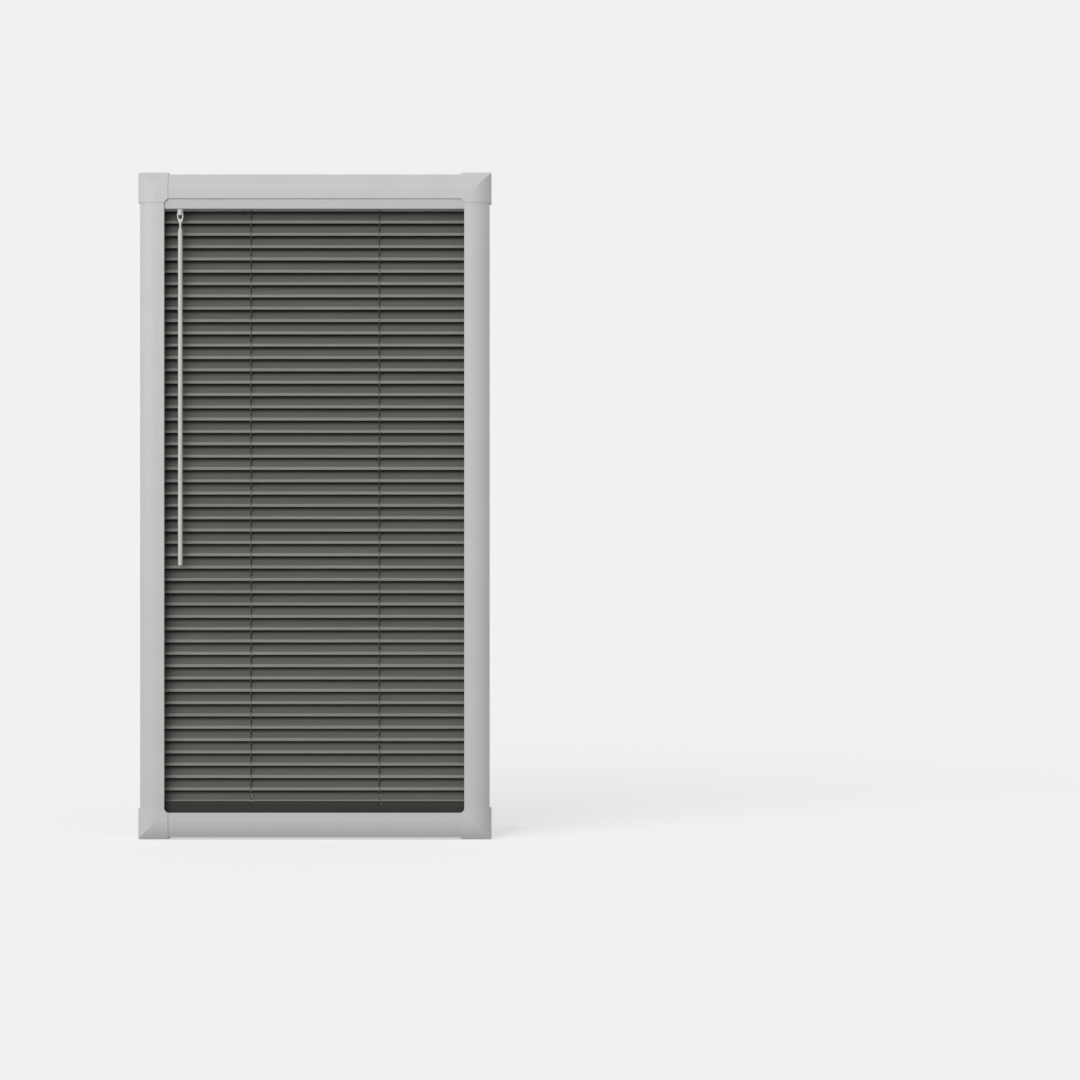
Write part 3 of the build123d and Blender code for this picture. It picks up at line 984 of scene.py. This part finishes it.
class DressFrame(bpy.types.Operator):
    """Dresses the frame profiles and the corner covers"""

    bl_idname = "blind.frame"
    bl_label = "Frame and covers"

    def execute(self, context):
        colours = context.scene.blind_colours
        dress("frame_profiles", extruded_pvc(colours.frame))
        dress("corner_covers", moulded_abs(colours.covers))
        return {"FINISHED"}


class DressHeadrail(bpy.types.Operator):
    """Dresses the headrail and the tilt rod inside it"""

    bl_idname = "blind.headrail"
    bl_label = "Headrail and rod"

    def execute(self, context):
        dress("headrail", stove_enamel(context.scene.blind_colours.headrail))
        dress("tilt_rod", drawn_steel())
        return {"FINISHED"}


class DressCords(bpy.types.Operator):
    """Dresses the ladder cords and the guide cords"""

    bl_idname = "blind.cords"
    bl_label = "Cords"

    def execute(self, context):
        cord = braided_polyester("braided_polyester", context.scene.blind_colours.cord, 0.8 * mm)
        for name in ("ladder_front_cords", "ladder_back_cords", "guide_cords"):
            dress(name, cord)
        return {"FINISHED"}


class DressBottomRail(bpy.types.Operator):
    """Dresses the bottom rail"""

    bl_idname = "blind.bottom_rail"
    bl_label = "Bottom rail"

    def execute(self, context):
        rail = stained_wood("stained_rail_wood", context.scene.blind_colours.rail, 0.6, 0.12, False)
        dress("bottom_rail", rail)
        return {"FINISHED"}


# Studio


room_light = 0.385
floor_lift = 0.522
floor_half = 6.0
floor_drop = 1 * mm
top_light = {"toward": (-0.05, -0.165, 0.985), "strength": 0.25, "softness": radians(2)}
front_light = {"toward": (-0.48, -0.84, 0.24), "strength": 2.2, "softness": radians(60)}
# The camera looks straight ahead, and at view_distance it sees half_view to either side
eye_place = (0.3922, -5.043, -0.62075)
view_distance = 5.0
half_view = 0.9382
sensor_width = 36.0
far_clip = 50.0


def add_sun(name, toward, strength, softness):
    """Adds a sun that shines from one direction, with a strength in watts per square metre."""
    light = bpy.data.lights.new(name, "SUN")
    light.energy = strength
    light.angle = softness
    lamp = bpy.data.objects.new(name, light)
    bpy.context.collection.objects.link(lamp)
    lamp.matrix_world = Vector(toward).to_track_quat("Z", "Y").to_matrix().to_4x4()


class SetStage(bpy.types.Operator):
    """Sets up the floor, the background, the lights and the camera"""

    bl_idname = "blind.stage"
    bl_label = "Studio"

    def execute(self, context):
        background = context.scene.blind_colours.background
        world = bpy.data.worlds.new("Studio")
        context.scene.world = world
        world.use_nodes = True
        tree = world.node_tree
        tree.nodes.clear()
        white = opaque([1, 1, 1])
        dim = add_node(tree, "ShaderNodeBackground", {"Color": white, "Strength": room_light})
        pale = add_node(tree, "ShaderNodeBackground", {"Color": opaque(background), "Strength": 1.0})
        mix = add_node(
            tree,
            "ShaderNodeMixShader",
            {0: seen_directly(tree), 1: dim.outputs[0], 2: pale.outputs[0]},
        )
        add_node(tree, "ShaderNodeOutputWorld", {"Surface": mix.outputs[0]})

        half = floor_half
        below = cad_box[0].z - floor_drop
        shape = bmesh.new()
        add_face(
            shape,
            [(-half, -half, below), (half, -half, below), (half, half, below), (-half, half, below)],
        )
        mesh = bpy.data.meshes.new("studio_floor")
        shape.to_mesh(mesh)
        shape.free()
        mesh.materials.append(studio_floor(linear("#c4c4c4"), floor_lift))
        floor = bpy.data.objects.new("studio_floor", mesh)
        context.collection.objects.link(floor)

        add_sun("Top light", **top_light)
        add_sun("Front light", **front_light)

        camera = bpy.data.cameras.new("Camera")
        camera.sensor_width = sensor_width
        camera.lens = sensor_width / 2 * view_distance / half_view
        camera.clip_end = far_clip
        eye = bpy.data.objects.new("Camera", camera)
        context.collection.objects.link(eye)
        eye.matrix_world = Matrix.Translation(eye_place) @ Matrix.Rotation(pi / 2, 4, "X")
        context.scene.camera = eye
        context.scene.view_settings.view_transform = "Standard"
        return {"FINISHED"}


class BlindPanel(bpy.types.Panel):
    """Lists the blind's sizes, its colours and the steps that build it"""

    bl_idname = "VIEW3D_PT_blind"
    bl_label = "Framed wooden blind"
    bl_space_type = "VIEW_3D"
    bl_region_type = "UI"
    bl_category = "Blind"

    def draw(self, context):
        for group in (context.scene.blind_sizes, context.scene.blind_colours):
            column = self.layout.column(align=True)
            for name in group.__annotations__:
                column.prop(group, name)
        for step in steps:
            self.layout.operator(step.bl_idname)


steps = (
    DressFrame,
    DressHeadrail,
    MakeTilter,
    DressCords,
    MakeSlats,
    DressBottomRail,
    SetStage,
)
classes = (BlindSizes, BlindColours, *steps, BlindPanel)


def register():
    for cls in classes:
        bpy.utils.register_class(cls)
    bpy.types.Scene.blind_sizes = PointerProperty(type=BlindSizes)
    bpy.types.Scene.blind_colours = PointerProperty(type=BlindColours)


def unregister():
    del bpy.types.Scene.blind_colours
    del bpy.types.Scene.blind_sizes
    for cls in reversed(classes):
        bpy.utils.unregister_class(cls)


def main():
    """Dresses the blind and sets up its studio."""
    register()
    bpy.ops.blind.frame()
    bpy.ops.blind.headrail()
    bpy.ops.blind.tilter()
    bpy.ops.blind.cords()
    bpy.ops.blind.slats()
    bpy.ops.blind.bottom_rail()
    bpy.ops.blind.stage()


if __name__ == "__main__":
    main()
